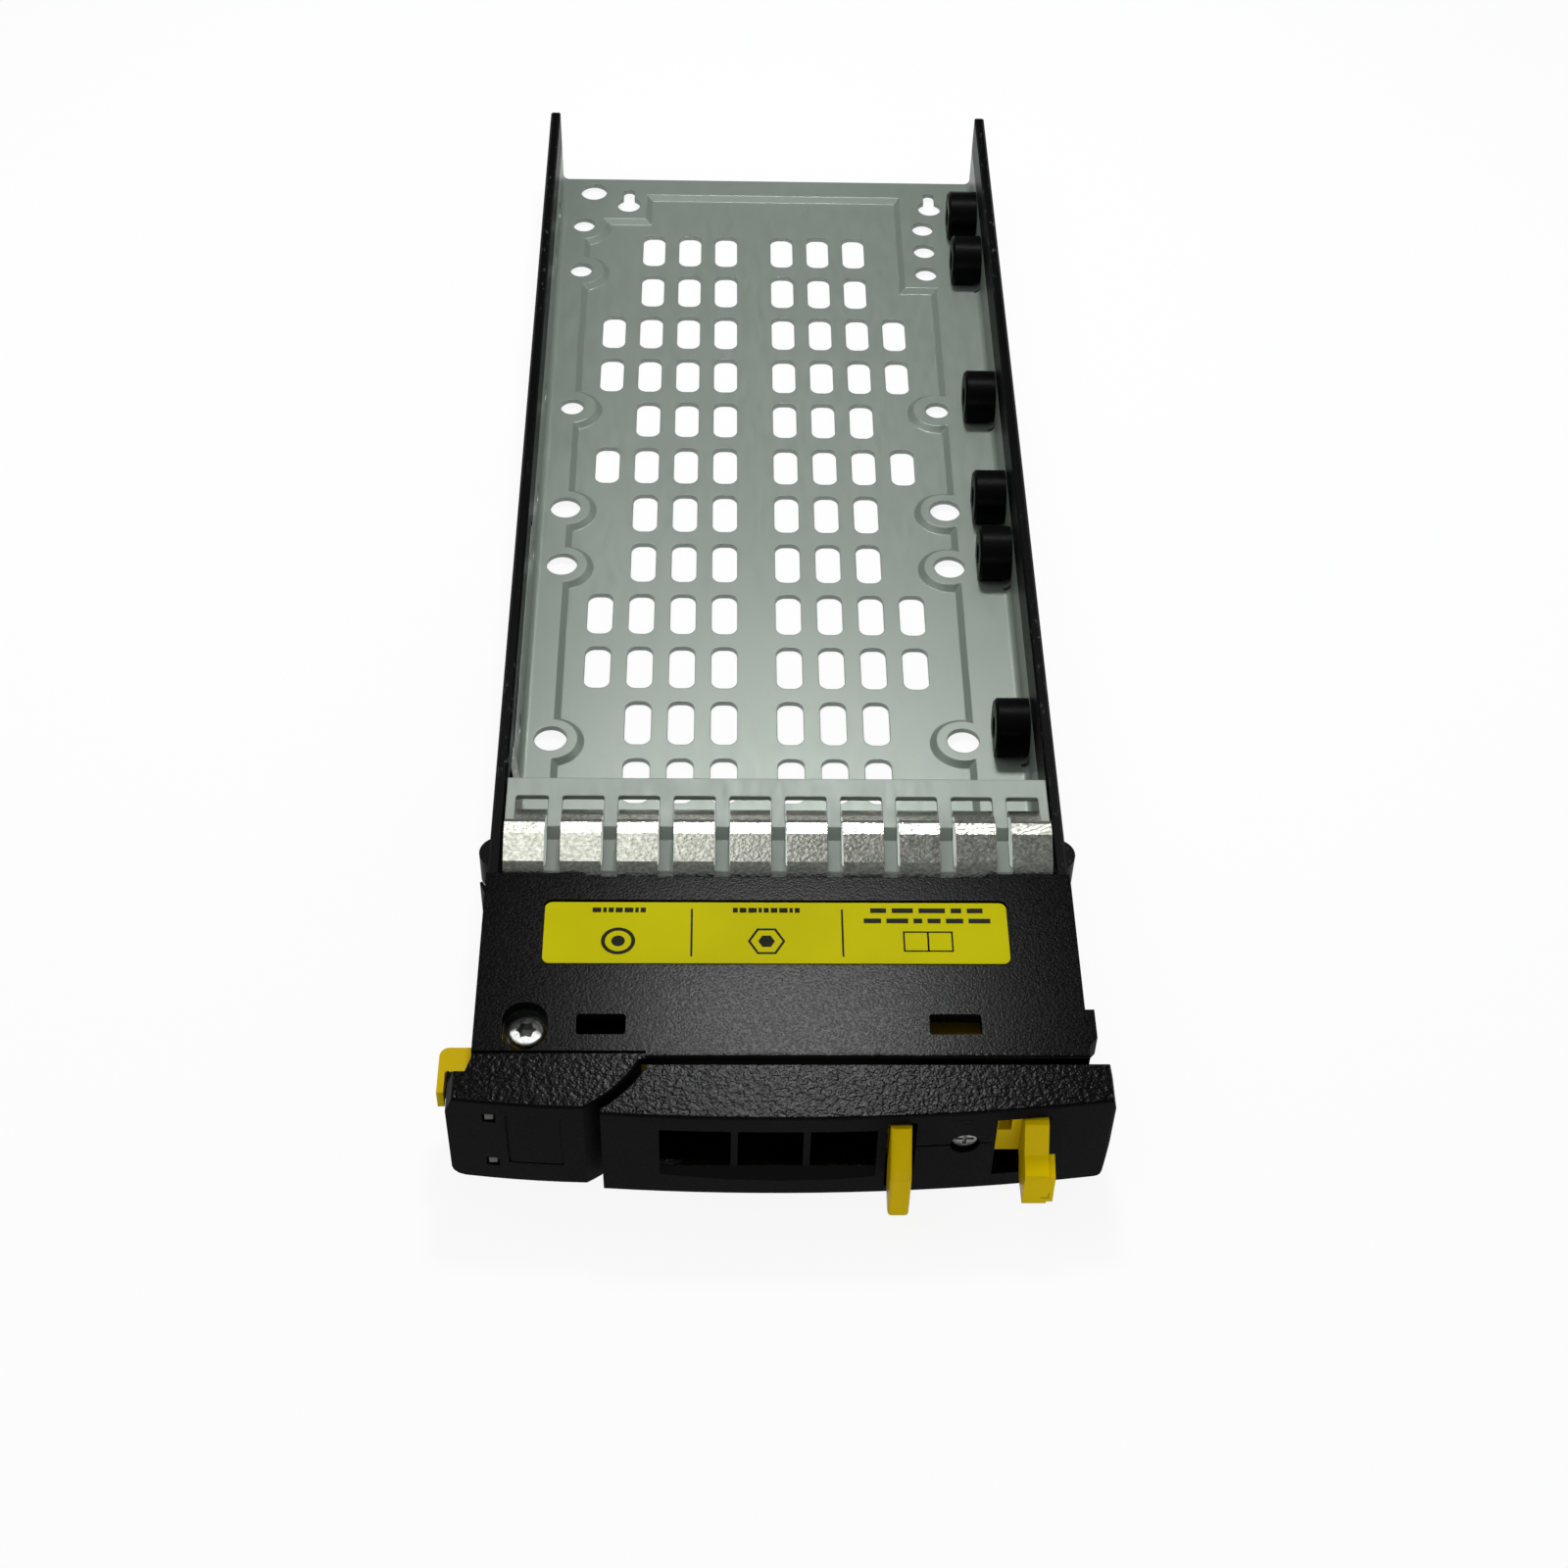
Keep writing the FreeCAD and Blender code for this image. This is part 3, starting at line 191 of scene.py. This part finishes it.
grainLook = {                         # of the cover, the bezel and the handle
    "clouds": (60, 4, 0.5),
    "coarse": (1550, 1, 0.5),         # leather-like, on the tops of bezel and handle
    "coarseStep": (0.35, 0.65),
    "fine": (3000, 1, 0.5),
    "fineStep": (0.3, 0.7),
    "coarseShare": 0.56,
    "fineShare": 0.16,
    "depth": 0.04 * mm,
    "upward": (0.35, 0.80),           # how far a face looks up before it counts as a top
    "frontEdge": (-98.4 * mm, -97.9 * mm),     # the coarse grain fades out here, at the cover
    "rough": (0.5, 0.6),              # of the upright faces
    "topRough": -0.34,                # added on the tops, which are glossier
}


def grainedPlastic(name):
    material, tree, shader = newMaterial(name)
    shader.inputs["Specular IOR Level"].default_value = plasticLook["gloss"]
    where = objectCoords(tree)
    clouds = noiseAt(tree, where, *grainLook["clouds"])
    tree.links.new(mottled(tree, clouds, plasticLook["tones"]), shader.inputs["Base Color"])

    facing = addNode(tree, "ShaderNodeNewGeometry")
    split = addNode(tree, "ShaderNodeSeparateXYZ")
    tree.links.new(facing.outputs["True Normal"], split.inputs["Vector"])
    upward = spread(tree, split.outputs["Z"], 0, 1, *grainLook["upward"])
    place = addNode(tree, "ShaderNodeSeparateXYZ")
    tree.links.new(where, place.inputs["Vector"])
    inFront = spread(tree, place.outputs["Y"], 1, 0, *grainLook["frontEdge"])
    top = maths(tree, "MULTIPLY", upward, inFront)

    coarse = spread(tree, noiseAt(tree, where, *grainLook["coarse"]), 0, 1, *grainLook["coarseStep"])
    fine = spread(tree, noiseAt(tree, where, *grainLook["fine"]), 0, 1, *grainLook["fineStep"])
    coarseHeight = maths(tree, "MULTIPLY", coarse, maths(tree, "MULTIPLY", top, grainLook["coarseShare"]))
    height = maths(tree, "ADD", maths(tree, "MULTIPLY", fine, grainLook["fineShare"]), coarseHeight)
    bump(tree, shader, height, 1.0, grainLook["depth"], plasticLook["softEdge"])

    dull = spread(tree, fine, *grainLook["rough"], 0, 1)
    satin = maths(tree, "MULTIPLY", upward, grainLook["topRough"])
    tree.links.new(maths(tree, "ADD", dull, satin), shader.inputs["Roughness"])
    return material


sheetLook = {
    "clouds": (14, 3, 0.5),
    "grain": (900, 4, 0.65),
    "grainStretch": (1, 0.25, 1),     # drawn out along the sheet
    "bump": 0.12,
    "depth": 0.02 * mm,
    "softEdge": 0.25 * mm,
}
trayZinc = {"tones": [(126, 135, 127), (135, 144, 136)], "metallic": 0.38, "rough": (0.36, 0.48)}
shieldZinc = {"tones": [(124, 132, 124), (135, 143, 135)], "metallic": 0.30, "rough": (0.46, 0.58)}


def sheetSteel(name, zinc):
    material, tree, shader = newMaterial(name)
    shader.inputs["Metallic"].default_value = zinc["metallic"]
    clouds = noiseAt(tree, objectCoords(tree), *sheetLook["clouds"])
    tree.links.new(mottled(tree, clouds, zinc["tones"]), shader.inputs["Base Color"])
    grain = noiseAt(tree, objectCoords(tree, sheetLook["grainStretch"]), *sheetLook["grain"])
    tree.links.new(spread(tree, grain, *zinc["rough"]), shader.inputs["Roughness"])
    bump(tree, shader, grain, sheetLook["bump"], sheetLook["depth"], sheetLook["softEdge"])
    return material


springLook = {
    "tones": [(168, 169, 158), (214, 215, 203)],
    "grain": (1900, 1, 0.5),
    "grainStretch": (1, 1.3, 1.3),
    "sheen": (900, 3, 0.5),           # noise of the roughness
    "rough": (0.16, 0.26),
    "bump": 0.5,
    "depth": 0.06 * mm,
}


def springSteel(name):
    # bright strip with a sparkling mill grain
    material, tree, shader = newMaterial(name)
    shader.inputs["Metallic"].default_value = 1
    grain = noiseAt(tree, objectCoords(tree, springLook["grainStretch"]), *springLook["grain"])
    tree.links.new(mottled(tree, grain, springLook["tones"]), shader.inputs["Base Color"])
    sheen = noiseAt(tree, objectCoords(tree), *springLook["sheen"])
    tree.links.new(spread(tree, sheen, *springLook["rough"]), shader.inputs["Roughness"])
    bump(tree, shader, grain, springLook["bump"], springLook["depth"])
    return material


platedLook = {
    "tones": [(118, 120, 118), (176, 177, 174)],
    "grain": (3200, 3, 0.5),
    "rough": (0.34, 0.50),
    "bump": 0.15,
    "depth": 0.02 * mm,
    "softEdge": 0.08 * mm,
}


def platedSteel(name):
    material, tree, shader = newMaterial(name)
    shader.inputs["Metallic"].default_value = 1
    grain = noiseAt(tree, objectCoords(tree), *platedLook["grain"])
    tree.links.new(mottled(tree, grain, platedLook["tones"]), shader.inputs["Base Color"])
    tree.links.new(spread(tree, grain, *platedLook["rough"]), shader.inputs["Roughness"])
    bump(tree, shader, grain, platedLook["bump"], platedLook["depth"], platedLook["softEdge"])
    return material


yellowLook = {
    "tones": [(200, 170, 0), (212, 182, 0)],
    "gloss": 0.03,
    "clouds": (110, 3, 0.5),
    "grain": (1800, 2, 0.5),
    "rough": (0.26, 0.40),
    "bump": 0.12,
    "depth": 0.03 * mm,
    "softEdge": 0.18 * mm,
}

filmLook = {
    "tones": [(180, 173, 0), (188, 181, 0)],
    "gloss": 0.02,
    "clouds": (70, 3, 0.5),
    "grain": (2200, 2, 0.5),
    "rough": (0.42, 0.52),
    "bump": 0.08,
    "depth": 0.02 * mm,
    "softEdge": 0,
}


def evenPlastic(name, look, tones):
    # the yellow mouldings, the label film and its ink, which differ in gloss and grain
    material, tree, shader = newMaterial(name)
    shader.inputs["Specular IOR Level"].default_value = look["gloss"]
    where = objectCoords(tree)
    tree.links.new(mottled(tree, noiseAt(tree, where, *look["clouds"]), tones), shader.inputs["Base Color"])
    grain = noiseAt(tree, where, *look["grain"])
    tree.links.new(spread(tree, grain, *look["rough"]), shader.inputs["Roughness"])
    bump(tree, shader, grain, look["bump"], look["depth"], look["softEdge"])
    return material


rodLook = {
    "tones": [(150, 153, 148), (176, 178, 172)],
    "clear": 0.3,                     # share of the light that passes through
    "bend": 1.49,                     # index of refraction
    "clouds": (300, 3, 0.5),
    "grain": (1500, 2, 0.5),
    "rough": (0.12, 0.30),
}


def clearRod(name):
    material, tree, shader = newMaterial(name)
    shader.inputs["Transmission Weight"].default_value = rodLook["clear"]
    shader.inputs["IOR"].default_value = rodLook["bend"]
    where = objectCoords(tree)
    clouds = noiseAt(tree, where, *rodLook["clouds"])
    tree.links.new(mottled(tree, clouds, rodLook["tones"]), shader.inputs["Base Color"])
    grain = noiseAt(tree, where, *rodLook["grain"])
    tree.links.new(spread(tree, grain, *rodLook["rough"]), shader.inputs["Roughness"])
    return material


grained = grainedPlastic("grainedBlack")
coat(["base_tray"], sheetSteel("trayZinc", trayZinc))
coat(["top_shield"], sheetSteel("shieldZinc", shieldZinc))
coat(["shield_fingers"], springSteel("springStrip"))
coat(["hinge_post", "hinge_screw", "base_screw_left", "base_screw_right", "quarter_turn_lock",
      "latch_spring"], platedSteel("platedSteel"))
coat(["left_rail", "right_rail"], blackPlastic("railBlack", railFinish, worn=True))
coat([f"drive_spacer_{n}" for n in range(1, 7)], blackPlastic("spacerBlack", spacerFinish))
coat(["front_cover", "handle_shell"], grained)
coat(["handle_lever", "latch_slide"], evenPlastic("yellowPlastic", yellowLook, yellowLook["tones"]))
coat(["cover_label"], evenPlastic("labelYellow", filmLook, filmLook["tones"]))
coat(["light_pipe_upper", "light_pipe_lower"], clearRod("clearRod"))
print("materials on", len(nodes), "nodes")


def addPiece(name, build, material, body):
    # turn the built mesh into a piece that rides the body
    mesh = bpy.data.meshes.new(name)
    build.to_mesh(mesh)
    build.free()
    mesh.materials.append(material)
    piece = bpy.data.objects.new(name, mesh)
    scene.collection.objects.link(piece)
    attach(piece, body)


labelPrint = {
    "ink": [(26, 28, 20), (40, 42, 32)],
    "lift": 0.02 * mm,               # above the film
    "line": 0.13 * mm,               # half of a line's width
    "dividers": (-0.183, 0.142),     # share of the label's length, from its middle
    "dividerShare": 0.78,            # of the label's width
    "rowHigh": 0.8 * mm,
    "rows": [                        # middle and length along the label, place across it, marks in the row
        (-0.340, 0.115, 0.37, 7),
        (-0.022, 0.145, 0.37, 9),
        (0.326, 0.245, 0.37, 5),
        (0.326, 0.275, 0.20, 6),
    ],
    "signs": (-0.340, -0.022, 0.326),
    "signDrop": 0.14,                # share of the label's width below its middle
    "signSize": 2.0 * mm,
    # radii as shares of the sign's size, lines as shares of the line above
    "ring": {"outer": 1.0, "corners": 28, "line": 2.0, "inner": 0.45, "innerCorners": 20},
    "hexagon": {"outer": 1.15, "corners": 6, "line": 1.4, "inner": 0.55, "innerCorners": 6},
    "leaf": {"half": 0.8, "line": 1.3},
}


def bar(x0, x1, y0, y1):
    return [(x0, y0), (x1, y0), (x1, y1), (x0, y1)]


def around(x, y, radius, corners):
    angles = [2 * math.pi * n / corners for n in range(corners)]
    return [(x + radius * math.cos(angle), y + radius * math.sin(angle)) for angle in angles]


def outlined(points, half):
    # a closed line drawn along the points, as one quad per side
    middleX = sum(x for x, y in points) / len(points)
    middleY = sum(y for x, y in points) / len(points)
    quads = []
    for first, second in zip(points, points[1:] + points[:1]):
        edge = []
        for x, y in (first, second):
            reach = math.hypot(x - middleX, y - middleY)
            inner, outer = (reach - half) / reach, (reach + half) / reach
            edge.append(((middleX + (x - middleX) * inner, middleY + (y - middleY) * inner),
                         (middleX + (x - middleX) * outer, middleY + (y - middleY) * outer)))
        quads.append([edge[0][0], edge[0][1], edge[1][1], edge[1][0]])
    return quads


def rowOfMarks(x, y, long, count):
    # plain bars of uneven length, as a line of small print looks from afar
    gap = long / (count * 4)
    weights = [2 + (n * 5 + count) % 4 for n in range(count)]
    unit = (long - gap * (count - 1)) / sum(weights)
    halfHigh = labelPrint["rowHigh"] / 2
    start = x - long / 2
    marks = []
    for weight in weights:
        marks.append(bar(start, start + weight * unit, y - halfHigh, y + halfHigh))
        start += weight * unit + gap
    return marks


def makeLabelPrint():
    low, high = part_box("cover_label")
    middle = (low + high) / 2
    long = high.x - low.x
    wide = high.y - low.y
    line = labelPrint["line"]
    shapes = []
    for share in labelPrint["dividers"]:
        x = middle.x + share * long
        reach = wide * labelPrint["dividerShare"] / 2
        shapes.append(bar(x - line, x + line, middle.y - reach, middle.y + reach))
    for place, length, across, count in labelPrint["rows"]:
        shapes += rowOfMarks(middle.x + place * long, middle.y + across * wide, length * long, count)

    size = labelPrint["signSize"]
    y = middle.y - labelPrint["signDrop"] * wide
    ringX, hexagonX, leafX = [middle.x + share * long for share in labelPrint["signs"]]
    for x, sign in ((ringX, labelPrint["ring"]), (hexagonX, labelPrint["hexagon"])):
        shapes += outlined(around(x, y, size * sign["outer"], sign["corners"]), line * sign["line"])
        shapes.append(around(x, y, size * sign["inner"], sign["innerCorners"]))
    half = size * labelPrint["leaf"]["half"]
    for x in (leafX - half, leafX + half):
        shapes += outlined(bar(x - half, x + half, y - half, y + half), line * labelPrint["leaf"]["line"])

    build = bmesh.new()
    z = high.z + labelPrint["lift"]
    for shape in shapes:
        build.faces.new([build.verts.new((x, y, z)) for x, y in shape])
    ink = evenPlastic("labelInk", filmLook, labelPrint["ink"])
    addPiece("label_print", build, ink, "carrier")


makeLabelPrint()
print("label printed")


def roundedBlock(name, spans, rounding, material, body):
    # a small moulded block between the given spans in x, y and z, rounded along its edges
    build = bmesh.new()
    bmesh.ops.create_cube(build, size=1)
    for vert in build.verts:
        vert.co = [low if c < 0 else high for c, (low, high) in zip(vert.co, spans)]
    bmesh.ops.bevel(build, geom=build.edges[:], offset=rounding, segments=2, profile=0.5, affect="EDGES")
    addPiece(name, build, material, body)


grilleShadeLip = {      # left end of the low lip behind the air grille, a dark block that also stands in as painted shade where only shade shows through the grille
    "spans": [(-15.7 * mm, -12.6 * mm), (-100.2 * mm, -99.62 * mm), (1.2 * mm, 5.2 * mm)],
    "rounding": 0.12 * mm,
}
# painted shade: this black block fills a gap behind the grille where the inside is only in shade
roundedBlock("grille_shade_lip", grilleShadeLip["spans"], grilleShadeLip["rounding"], grained, "handle")
print("grille lip added")


def makeReturnSpring():
    # the folded strip, which closes up as the latch is squeezed; here a rigid copy of the latch spring, with
    # a mesh of its own, carried by the handle
    strip = nodes["latch_spring"]
    spring = bpy.data.objects.new("return_spring", strip.data.copy())
    spring.matrix_world = strip.matrix_world.copy()
    scene.collection.objects.link(spring)
    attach(spring, "handle")
    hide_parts("latch_spring")
    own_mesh(spring)


makeReturnSpring()
print("return spring added")


lampLens = {       # frosted ends of the light pipes, just inside their windows
    "x": -36.9 * mm,
    "places": {"lamp_lens_lower": 4.2 * mm, "lamp_lens_upper": 13.8 * mm},
    "half": 0.54 * mm,
    "depth": (-105.6 * mm, -105.3 * mm),
    "rounding": 0.1 * mm,
    "tones": [(92, 94, 88), (112, 114, 108)],
}


def makeLampLenses():
    frosted = evenPlastic("frostedLens", filmLook, lampLens["tones"])
    x, half = lampLens["x"], lampLens["half"]
    for name, z in lampLens["places"].items():
        spans = [(x - half, x + half), lampLens["depth"], (z - half, z + half)]
        roundedBlock(name, spans, lampLens["rounding"], frosted, "carrier")


makeLampLenses()
print("lamp lenses added")


mouldedLook = {
    "rise": 0.03 * mm,
    "line": 0.09 * mm,           # half of a moulded line's width
    "ahead": 300 * mm,           # from where the face is felt for
}


def frontOf(name, x, z):
    # how far forward the node's face stands at x and z
    piece = nodes[name]
    toLocal = piece.matrix_world.inverted()
    start = toLocal @ Vector((x, -mouldedLook["ahead"], z))
    towards = (toLocal @ Vector((x, mouldedLook["ahead"], z)) - start).normalized()
    place = piece.ray_cast(start, towards)[1]
    return (piece.matrix_world @ place).y


def mouldedLines(name, node, lines, material, body):
    # thin raised lines that follow the face, each from one (x, z) to another
    build = bmesh.new()
    half = mouldedLook["line"]
    for (x0, z0), (x1, z1) in lines:
        long = math.hypot(x1 - x0, z1 - z0)
        alongX, alongZ = (x1 - x0) / long * half, (z1 - z0) / long * half
        corners = [(x0 - alongX - alongZ, z0 - alongZ + alongX), (x0 - alongX + alongZ, z0 - alongZ - alongX),
                   (x1 + alongX + alongZ, z1 + alongZ - alongX), (x1 + alongX - alongZ, z1 + alongZ + alongX)]
        verts = [build.verts.new((x, frontOf(node, x, z) - mouldedLook["rise"], z)) for x, z in corners]
        build.faces.new(verts)
    bmesh.ops.recalc_face_normals(build, faces=build.faces)
    addPiece(name, build, material, body)


lockSign = {                     # small open box above the lock
    "x": (22.35 * mm, 23.85 * mm),
    "z": (14.58 * mm, 15.42 * mm),
}
latchTick = {                    # corner mark on the latch's tab, in a darker yellow as painted shade of the moulded line
    "points": [(33.0 * mm, 6.1 * mm), (33.9 * mm, 6.1 * mm), (33.9 * mm, 7.0 * mm)],
    "tones": [(150, 124, 0), (162, 134, 0)],
}


def makeFaceMarks():
    corners = bar(*lockSign["x"], *lockSign["z"])
    moulded = blackPlastic("mouldedLine", signFinish)
    mouldedLines("lock_sign", "handle_shell", zip(corners, corners[1:] + corners[:1]), moulded,
                 "handle")
    points = latchTick["points"]
    # painted shade: the tick is the tab's own yellow plastic, drawn darker for the shade along the moulded
    # line
    shadedYellowLine = evenPlastic("shadedYellowLine", yellowLook, latchTick["tones"])
    mouldedLines("latch_tick", "latch_slide", zip(points, points[1:]), shadedYellowLine, "latch")


makeFaceMarks()
print("moulded marks added")


stageLook = {
    "floor": (238, 239, 239),
    "floorRough": 0.9,
    "floorHalf": 6.0,       # metres from the middle to each side
    "floorWhite": 0.9,      # share of plain white that the eye sees on the floor, the rest keeps the shadow
    "world": (114, 116, 118),
    "worldStrength": 1.0,
}


def makeFloor():
    material, tree, shader = newMaterial("floorPaint")
    shader.inputs["Base Color"].default_value = shaderColour(stageLook["floor"])
    shader.inputs["Roughness"].default_value = stageLook["floorRough"]
    white = addNode(tree, "ShaderNodeEmission", Strength=1.0, Color=(1, 1, 1, 1))
    rays = addNode(tree, "ShaderNodeLightPath")
    seen = maths(tree, "MAXIMUM", rays.outputs["Is Camera Ray"], rays.outputs["Is Glossy Ray"])
    seen = maths(tree, "MAXIMUM", seen, rays.outputs["Is Transmission Ray"])
    blend = addNode(tree, "ShaderNodeMixShader")
    tree.links.new(maths(tree, "MULTIPLY", seen, stageLook["floorWhite"]), blend.inputs["Fac"])
    tree.links.new(shader.outputs["BSDF"], blend.inputs[1])
    tree.links.new(white.outputs["Emission"], blend.inputs[2])
    tree.links.new(blend.outputs["Shader"], tree.nodes["Material Output"].inputs["Surface"])

    mesh = bpy.data.meshes.new("floor")
    half = stageLook["floorHalf"]
    mesh.from_pydata([(x, y, 0) for x, y in bar(-half, half, -half, half)], [], [(0, 1, 2, 3)])
    mesh.materials.append(material)
    floor = bpy.data.objects.new("floor", mesh)
    scene.collection.objects.link(floor)


def makeWorld():
    world = bpy.data.worlds.new("studio")
    scene.world = world
    world.use_nodes = True
    background = world.node_tree.nodes["Background"]
    background.inputs["Color"].default_value = shaderColour(stageLook["world"])
    background.inputs["Strength"].default_value = stageLook["worldStrength"]


softLights = {               # place, point it faces, width and height in metres, brightness
    "overLeft": ((-0.25, 0.00, 0.60), (-0.02, 0, 0), (0.50, 0.54), 1.5),
    "front": ((0.20, -1.10, 0.30), (0, -0.03, 0), (0.60, 0.40), 4.6),
    "right": ((0.85, 0.10, 0.35), (0, 0, 0), (0.50, 0.40), 2.0),
    "near": ((0.012, 0.150, 0.345), (0, -0.08, 0), (0.08, 0.05), 72.0),
}


def addSoftLight(name, place, target, size, brightness):
    data = bpy.data.lights.new(name, "AREA")
    data.shape = "RECTANGLE"
    data.size, data.size_y = size
    data.energy = math.pi * size[0] * size[1] * brightness
    lamp = bpy.data.objects.new(name, data)
    lamp.location = place
    lamp.rotation_euler = (Vector(target) - Vector(place)).to_track_quat("-Z", "Y").to_euler()
    scene.collection.objects.link(lamp)


cameraLook = {
    "place": (-7.648 * mm, -293.322 * mm, 284.854 * mm),
    "turn": (42.05, -1.80, -1.26),    # degrees about x, y and z
    "lens": 59.48,
    "sensor": 36,                     # both in millimetres, as on a real camera
    "shift": -0.024,
    "nearest": 10 * mm,
}


def makeCamera():
    data = bpy.data.cameras.new("view")
    data.lens = cameraLook["lens"]
    data.sensor_width = cameraLook["sensor"]
    data.shift_x = cameraLook["shift"]
    data.clip_start = cameraLook["nearest"]
    camera = bpy.data.objects.new("view", data)
    camera.location = cameraLook["place"]
    camera.rotation_euler = [math.radians(angle) for angle in cameraLook["turn"]]
    scene.collection.objects.link(camera)
    scene.camera = camera


makeFloor()
makeWorld()
for name, (place, target, size, brightness) in softLights.items():
    addSoftLight(name, place, target, size, brightness)
makeCamera()
scene.view_settings.view_transform = "Standard"
print("stage, lights and camera set")
